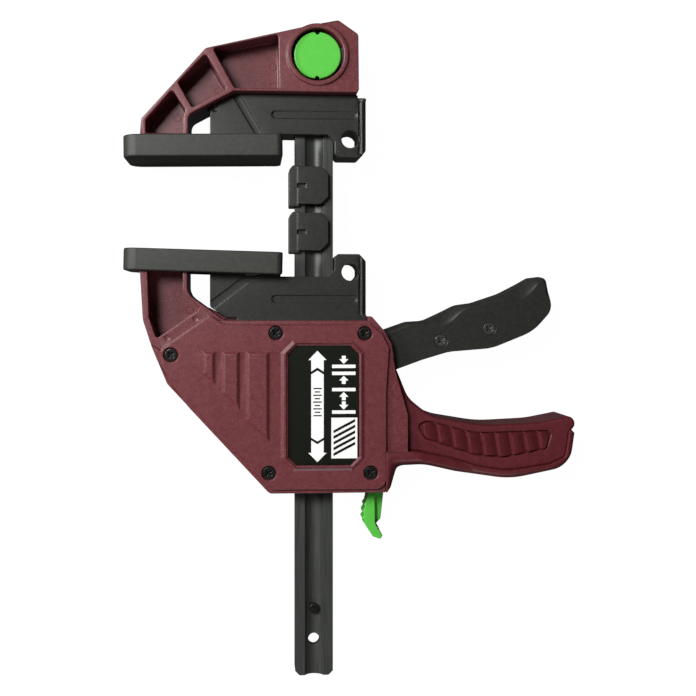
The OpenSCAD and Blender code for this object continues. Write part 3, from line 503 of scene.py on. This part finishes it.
def grip_face(name, side, node):
    """The grip's flat face, over a grid between its upper edge and the lip.

    z = grip_top - (r - sqrt(r^2 - (r - d)^2)) within a distance d of r = edge_r from the upper
    edge. In the finger window it drops by window_deep over a side of window_side, and shingled
    ribs rise again from a groove 0.5 mm wide: rib_high (1 - t^2) over each pitch, cut off by a
    steep left edge. A groove as deep as it is wide runs along the lip."""
    rows, columns = 150, 560
    upper = evenly(grip_line[notch:grip_start + 1][::-1], columns, False)
    under_lip = lip_line[lip_line[:, 0] > 52] + [0, -0.9]
    lower = evenly(np.vstack([[(50.6, -114.6)], under_lip, [(147.2, -103.4)]]), columns, False)
    across = np.linspace(0, 1, rows)[:, None, None]
    flat = (upper[None] * (1 - across) + lower[None] * across).reshape(-1, 2)
    d = np.clip(reach_to(flat, evenly(upper, 140, False)), 0, edge_r)
    z = grip_top - (edge_r - np.sqrt(edge_r ** 2 - (edge_r - d) ** 2))
    near = (reach_to(flat, np.vstack([finger_window, finger_window[:1]]))
            * np.where(inside(flat, finger_window), 1, -1))
    drop = np.clip(0.5 + near / window_side, 0, 1)
    step = (flat[:, 0] - rib_place[0] + (flat[:, 1] - rib_place[1]) * rib_slope) / rib_pitch
    rib = np.minimum(rib_high * (1 - (step % 1) ** 2), 30 * (step % 1))
    rib = rib * ((step > 0) & (step < rib_count)) * np.clip((near - 0.5) / 0.4, 0, 1)
    z = z * (1 - drop) + (grip_top - window_deep + rib) * drop
    z -= groove_deep * np.clip(1 - reach_to(flat, lip_line) / groove_deep, 0, 1)
    n, k = rows * columns, np.arange(columns - 1)
    under = np.column_stack([np.vstack([upper, lower]), np.full(2 * columns, grip_low)])
    points = (np.vstack([np.column_stack([flat, z]), under]) + [0, jaw_y, 0]) * [1, 1, side]
    rims = [np.stack([a + k, a + k + 1, b + k + 1, b + k], 1)
            for a, b in ((0, n), (n - columns, n + columns), (n, n + columns))]
    ends = [np.append(np.arange(rows) * columns + c, [n + columns + c, n + c])
            for c in (0, columns - 1)]
    faces = list(grid_faces(rows, columns, False)) + list(np.vstack(rims)) + ends
    # The face takes the grip's darker burgundy copy, painted shade.
    return hang(mesh_piece(name, points, faces, 60), shaded_burgundy,
                "carriage", [node])


def grip_lip(name, side, node):
    """The raised lip along the grip's lower edge. Across it the height is level, then falls by a
    quarter ellipse over four fifths of the width and 7.5 mm at most; along it the crest sinks from
    crest_high to crest_low."""
    inner = np.vstack([evenly(np.array([(39.5, -136.4), (39.5, -113.7)]), 60, False),
                       evenly(lip_line, 340, False)[1:]])
    outer = np.vstack([evenly(grip_line[lip_start:turn_in + 1], 60, False),
                       evenly(grip_line[turn_in:lip_end + 1], 340, False)[1:]])
    crest_high, crest_low = 21.6, 16.5
    crest = np.interp(inner[:, 0], [39.5, 54, 84, 146],
                      [crest_high, crest_high, crest_low, crest_low])[:, None]
    width = np.linalg.norm(outer - inner, axis=1)[:, None]
    bend = np.linspace(0, np.pi / 2, 12)[None]
    fall = np.minimum(7.5, 0.8 * width)
    share = np.hstack([np.zeros((len(inner), 2)), 0.1 / width, 0.35 / width,
                       1 - fall / width * (1 - np.sin(bend)), np.ones((len(inner), 1))]).clip(0, 1)
    base = np.full_like(crest, grip_low)
    z = np.hstack([base, crest - 0.35, crest - 0.1, crest,
                   crest - (crest - grip_low - 0.5) * (1 - np.cos(bend)), base])
    flat = inner[:, None] + (outer - inner)[:, None] * share[..., None]
    points = (np.dstack([flat, z]).reshape(-1, 3) + [0, jaw_y, 0]) * [1, 1, side]
    n, m = z.shape
    faces = list(grid_faces(n, m)) + [np.arange(m)[::-1], (n - 1) * m + np.arange(m)]
    # The lip takes the grip's darker burgundy copy, painted shade.
    return hang(mesh_piece(name, points, faces), shaded_burgundy, "carriage",
                [node])


def louvre_covers():
    """The front shell's three louvres, each with a level top edge and a lower edge that falls to
    the right: four bevels rise from the shell's face to a flat top. The mitres keep the sloping
    edge's bevel as wide as the others."""
    louvre_top, fall, mitre_right, mitre_left = -57.1, 0.96, 2.35, 0.43
    root, face, crown, bevel = 20.5, 21.02, 22.35, 1.7
    points, faces = [], []
    outlines = [(-62.8, 6.9, -69.6), (-52.3, 9.9, -80.4), (-39, 13.1, -95.5)]
    for k, (left, wide, low) in enumerate(outlines):
        for inset, z in ((0, root), (0, face), (bevel, crown)):
            a, b = left + inset, left + wide - inset
            points += [(a, louvre_top - inset, z), (b, louvre_top - inset, z),
                       (b, low - fall * wide + mitre_right * inset, z),
                       (a, low + mitre_left * inset, z)]
        ends = [np.arange(4)[::-1], 8 + np.arange(4)]
        faces += [f + 12 * k for f in list(grid_faces(3, 4)) + ends]
    return mesh_piece("louvre_covers", np.array(points) + [0, jaw_y, 0], faces, 15)


louvres = hang(louvre_covers(), burgundy, "carriage", ["housing_front"])
round_off(louvres, 0.22, angle=14)
for side, word in ((1, "front"), (-1, "rear")):
    grip_face("grip_face_" + word, side, "housing_" + word)
    grip_lip("grip_lip_" + word, side, "housing_" + word)
dress("housing_screws", black_steel, 0.25)
arm_ring_spots = [(-78.3, jaw_y - 24.7), (-71.3, jaw_y - 33.9)]
ejector_rings("arm_ejector_rings", arm_ring_spots, pocket_floor, burgundy, "burgundy_nylon",
              "carriage", "housing_front")


# ---- Moving jaw's block and pad ----
# The mirror images of the head's block and pad, held in the housing by two of its screws.

dress("jaw_block", nylon, 0.35)
dress("jaw_pad", rubber, 0.9, 3)


# ---- Label ----
# A black foil plate glued into the frame on the front shell, screen-printed in white with plain
# marks: a two-headed arrow with a tick scale for the jaw's travel, signs for clamping and
# spreading, and a white field with five equal slanting stripes.

# Black printed foil, nearly even.
foil = mottled("printed_foil", "#10130d", "#151810", 0.8, 0.00001,
               Roughness=0.35, Specular_IOR_Level=0.3)
# White screen ink, matt.
ink = mottled("white_ink", "#f4f5f2", "#fbfcfa", 0.8, 0.00001,
              Roughness=0.5, Specular_IOR_Level=0.3)
label_face = 20.0
dress("label_plate", foil, 0.2)


def mark(corners, lift=0.05):
    """A printed mark: a thin prism over the closed outline, in mm from the moving jaw's face."""
    n = len(corners)
    flat = np.array(corners, float) + [0, jaw_y]
    rise = np.repeat([[label_face - 0.02], [label_face + lift]], n, 0)
    points = np.hstack([np.vstack([flat, flat]), rise])
    sides = grid_faces(2, n)
    return points, list(sides) + [np.arange(n)[::-1], n + np.arange(n)]


def bar_mark(x0, x1, y0, y1, lift=0.05):
    """A rectangular mark."""
    return mark([(x0, y0), (x1, y0), (x1, y1), (x0, y1)], lift)


def print_marks(name, marks, material):
    """All the marks of one ink as one piece."""
    points = np.vstack([m[0] for m in marks])
    starts = np.cumsum([0] + [len(m[0]) for m in marks[:-1]])
    faces = [f + s for m, s in zip(marks, starts) for f in m[1]]
    return hang(mesh_piece(name, points, faces), material, "carriage",
                ["label_plate"])


def arrow_head(x, tip, way, wing, shaft, neck, end, notch):
    """An arrow's head: tip, two wings, and a shaft that ends in a chevron notch. way is 1 up, -1
    down."""
    return mark([(x, tip), (x - wing, tip - way * neck), (x - shaft, tip - way * neck),
                 (x - shaft, end), (x, end + way * notch), (x + shaft, end),
                 (x + shaft, tip - way * neck), (x + wing, tip - way * neck)])


def plain_arrow(x, tip, way):
    """A short thick arrow of one piece."""
    return arrow_head(x, tip, way, 2.6, 1.1, 2.7, tip - way * 4.6, 0)


def across_mark(y, height):
    """A bar as wide as the signs."""
    return bar_mark(sign_x - 6.6, sign_x + 6.6, y, y + height)


arrow_x, sign_x = 0.9, 15.7
arrow_wing, arrow_shaft, arrow_neck, chevron = 5.1, 3.5, 5.2, 2.2
white = [
    arrow_head(arrow_x, -56.9, 1, arrow_wing, arrow_shaft, arrow_neck, -68.5, chevron),
    arrow_head(arrow_x, -119.2, -1, arrow_wing, arrow_shaft, arrow_neck, -107.0, chevron),
    mark([(arrow_x - arrow_shaft, -70.1), (arrow_x, -68.0), (arrow_x + arrow_shaft, -70.1),
          (arrow_x + arrow_shaft, -105.5), (arrow_x, -107.6), (arrow_x - arrow_shaft, -105.5)]),
    plain_arrow(sign_x, -64.3, -1), across_mark(-66.6, 1.9), across_mark(-70.5, 1.9),
    plain_arrow(sign_x, -70.9, 1),
    across_mark(-79.6, 1.9), plain_arrow(sign_x, -80.0, 1), plain_arrow(sign_x, -89.9, -1),
    across_mark(-92.2, 1.9),
    bar_mark(8.7, 23.3, -117.2, -94.4),
]
print_marks("label_white_print", white, ink)
black = [bar_mark(arrow_x - tick, arrow_x + tick, -78.35 - 1.9 * k, -77.65 - 1.9 * k, 0.1)
         for k, tick in enumerate([2.4, 1.5] * 4 + [2.4])]
stripes = [mark([(9.9, y), (22.1, y + 6.4), (22.1, y + 8.0), (9.9, y + 1.6)], 0.1)
           for y in (-115.9, -112.7, -109.5, -106.3, -103.1)]
print_marks("label_black_print", black + stripes, foil)


# ---- Trigger ----
# Two black nylon covers screwed over a steel core whose fork turns on the housing's pin. The upper
# edge is scooped for two fingers; the lower edge only has its corner broken. The core shows black
# between the covers.

def shouldered(name, rim, spine, wide, deep, power, top, floor, side):
    """A closed body over a rim, in mm. Ring k stands g in from the rim, measured along the line to
    the spine, at a height of top - deep * (1 - g / wide)^power; the last ring and the floor are
    closed by flat faces.

    wide and deep are one number to each rim point. side -1 mirrors it in the mid-plane."""
    mate = np.clip(rim[:, 0], spine[0][0], spine[-1][0])
    inward = np.stack([mate, np.interp(mate, *np.array(spine, float).T)], 1) - rim
    inward /= np.linalg.norm(inward, axis=1, keepdims=True)
    g = np.append(np.linspace(0, 1, 9), 1.06)[:, None]
    flat = rim[None] + inward[None] * (g * wide)[..., None]
    z = top - deep * np.clip(1 - g, 0, 1) ** power
    n = len(rim)
    rows = np.concatenate([np.dstack([rim[None], np.full((1, n), floor)]), np.dstack([flat, z])])
    points = (rows.reshape(-1, 3) + [0, jaw_y, 0]) * [1, 1, side]
    ends = [np.arange(n)[::-1], (len(rows) - 1) * n + np.arange(n)]
    return mesh_piece(name, points, list(grid_faces(len(rows), n)) + ends)


trigger_rim = evenly(rounded([
    (33.5, -50.5, 2), (40.1, -46.2, 10), (54.8, -41, 12), (65, -40.4, 14), (84, -31.2, 16),
    (94, -29.9, 16), (110, -24.6, 30), (128.6, -14.6, 5), (133.6, -15.8, 3), (137.2, -34, 9),
    (126, -46.4, 28), (102, -56, 30), (76.9, -58, 30), (62, -62.4, 20), (46.8, -67.9, 20),
    (35, -73.4, 2)]), 420)
trigger_spine = [(38, -61), (52, -54), (66, -50.5), (84, -45), (104, -41), (127, -30)]
trigger_screws = [(72.4, -51.5), (100.4, -44.7)]
well_r, well_floor = 3.7, 10.1


def trigger_cover(name, side, node):
    """One cover: the shoulder is 1.9 mm wide along the top, and swells into a scoop under each
    finger by two bell curves of x; away from the top it narrows to a 0.7 mm broken corner."""
    x = trigger_rim[:, 0]
    middle_y = np.interp(x, *np.array(trigger_spine, float).T)
    above = np.clip((trigger_rim[:, 1] - middle_y) / 6, 0, 1) ** 2
    scoop = np.exp(-((x - 76) / 8.5) ** 2) + 1.25 * np.exp(-((x - 121) / 9) ** 2)
    wide = 0.7 + above * (1.2 + 5.2 * scoop)
    deep = 0.5 + above * (0.9 + 2.6 * scoop)
    piece = shouldered(name, trigger_rim, trigger_spine, wide, deep, 1.5, 12.5, 0.0, side)
    turn = np.linspace(0, 2 * np.pi, 48, endpoint=False)
    if side > 0:
        wells = [np.stack([cx + well_r * np.cos(turn), cy + well_r * np.sin(turn)], 1)
                 for cx, cy in trigger_screws]
        carve(piece, [(well, well_floor, 14) for well in wells])
    piece.data.shade_smooth()
    round_off(piece, 0.35)
    return hang(piece, nylon, "trigger", [node])


trigger_cover("trigger_front_cover", 1, "trigger_cover_front")
trigger_cover("trigger_rear_cover", -1, "trigger_cover_rear")
# The housing screws' blackened steel, painted a little lighter for the trigger's screws: painted
# highlight for the glints on their rims and lobes.
screw_steel = mottled("lit_black_screw_steel", "#4a4a48", "#5e5e5b", 0.4, 0.00002,
                      Metallic=0.6, Roughness=0.32)
dress("trigger_core", nylon, 0.4)
# The trigger's screws take the lighter copy of the screw steel, a painted highlight.
dress("trigger_screws", screw_steel, 0.3)
dress("trigger_pivot_pin", bright_steel, 0.2)
dress("trigger_bushes", nylon, 0.2)


# ---- Drive ----
# Three ground steel plates that bite on the bar as the trigger's nose tips them, with a spring to
# bring them back.

dress("drive_plates", bright_steel, 0.2)
dress("drive_spring_washer", bright_steel, 0.2)
drive_low = jaw_y - 106.5
drive_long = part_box("drive_spring")[1][1] * 1000 - drive_low
points, faces = coil(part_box("drive_spring")[1][0] * 1000 - 0.9, 1.8, drive_long, 4)
drive_spring = mesh_piece("drive_spring_coil",
                          points[:, [0, 2, 1]] * [1, 1, -1] + [0, drive_low, 0], faces)
hang(drive_spring, bright_steel, "carriage", ["drive_spring"])
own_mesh(drive_spring)


# ---- Brake and release ----
# A tilted steel plate holds the bar until the green lever turns on its screw and swings the
# plate's end down against its spring.

dress("brake_plate", bright_steel, 0.2)
dress("release_lever", green, 0.7, 3)
brake_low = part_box("brake_spring")[0][1] * 1000
brake_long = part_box("brake_spring")[1][1] * 1000 - brake_low
points, faces = coil(2.1, 0.7, brake_long, 5)
brake_spring_x, brake_hinge_x, brake_swing = 15.3, -19.5, np.radians(4.71)
brake_place = [brake_spring_x, brake_low, 0]
brake_spring = mesh_piece("brake_spring_coil", points[:, [0, 2, 1]] * [1, 1, -1] + brake_place,
                          faces)
hang(brake_spring, bright_steel, "carriage", ["brake_spring"])
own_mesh(brake_spring)


# ---- Bench and light ----
# A matt white bench under a key lamp high at the upper left, with a raking lamp low at the left
# and a weak fill from the bar's free end.

def sheet_of(name, corners):
    """A flat four-cornered sheet through these points, in metres."""
    mesh = bpy.data.meshes.new(name)
    mesh.from_pydata(corners, [], [(0, 1, 2, 3)])
    piece = bpy.data.objects.new(name, mesh)
    bpy.context.scene.collection.objects.link(piece)
    return piece


bench_z = cad_box[0][2]
half = 1.2
bench = sheet_of("bench", [(-half, -half, bench_z), (half, -half, bench_z),
                           (half, half, bench_z), (-half, half, bench_z)])
# White paper: bright to the camera, and nearly dark to the rays that light the object's walls.
paper = bpy.data.materials.new("white_paper")
paper.use_nodes = True
diffuse = paper.node_tree.nodes["Principled BSDF"]
diffuse.inputs["Roughness"].default_value = 0.9
seen = add(paper, "LightPath")
lit = add(paper, "Mix", {0: (seen, "Is Camera Ray"), 6: linear("#1e1e1e"), 7: linear("#f0f0f0")},
          data_type="RGBA")
mirrored = add(paper, "Math", {0: (seen, "Is Glossy Ray"), 1: 0.04}, operation="MULTIPLY")
either = add(paper, "Math", {0: (seen, "Is Camera Ray"), 1: (mirrored, 0)}, operation="MAXIMUM")
any_of = add(paper, "Math", {0: (either, 0), 1: (seen, "Is Transmission Ray")},
             operation="MAXIMUM")
much = add(paper, "Math", {0: (any_of, 0), 1: 0.94}, operation="MULTIPLY")
glow = add(paper, "Emission", {"Color": (1, 1, 1, 1), "Strength": 1.05})
mix = add(paper, "MixShader", {0: (much, 0), 1: (diffuse, 0), 2: (glow, 0)})
paper.node_tree.links.new(lit.outputs[2], diffuse.inputs["Base Color"])
paper.node_tree.links.new(mix.outputs[0], paper.node_tree.nodes["Material Output"].inputs[0])
bench.data.materials.append(paper)

world = bpy.context.scene.world or bpy.data.worlds.new("studio")
bpy.context.scene.world = world
world.use_nodes = True
sky = world.node_tree.nodes["Background"]
sky.inputs["Color"].default_value = (1, 1, 1, 1)
watched = add(world, "LightPath")
shown = add(world, "MapRange",
            {"Value": (watched, "Is Camera Ray"), "To Min": 0.03, "To Max": 1.0})
world.node_tree.links.new(shown.outputs[0], sky.inputs["Strength"])


def lamp(name, place, aim, side, power):
    """A square area lamp at a place, turned so that its -Z looks at the aim point."""
    light = bpy.data.lights.new(name, "AREA")
    light.shape = "SQUARE"
    light.size = side
    light.energy = power
    holder = bpy.data.objects.new(name, light)
    holder.location = place
    holder.rotation_euler = (Vector(aim) - Vector(place)).to_track_quat("-Z", "Y").to_euler()
    bpy.context.scene.collection.objects.link(holder)


middle = (0.02, 0.17, 0.0)
lamp("key", (-0.50, 0.55, 0.90), middle, side=0.35, power=10.8)
lamp("rake", (-1.40, 0.60, 0.80), middle, side=0.4, power=16)
lamp("fill", (0.1, -1.2, 0.9), middle, side=0.5, power=4.5)

# The camera looks almost straight down on the bench, a little from the left.
tilt = np.radians(3.53)
camera = bpy.data.cameras.new("camera")
camera.lens = 50.0
camera.sensor_width = 36.0
camera.shift_x = 0.0552
camera.shift_y = -0.0517
viewer = bpy.data.objects.new("camera", camera)
viewer.location = (-0.0368, 0.1888, 0.5596)
viewer.rotation_euler = (0, -tilt, 0)
bpy.context.scene.collection.objects.link(viewer)
bpy.context.scene.camera = viewer
bpy.context.scene.view_settings.view_transform = "Standard"
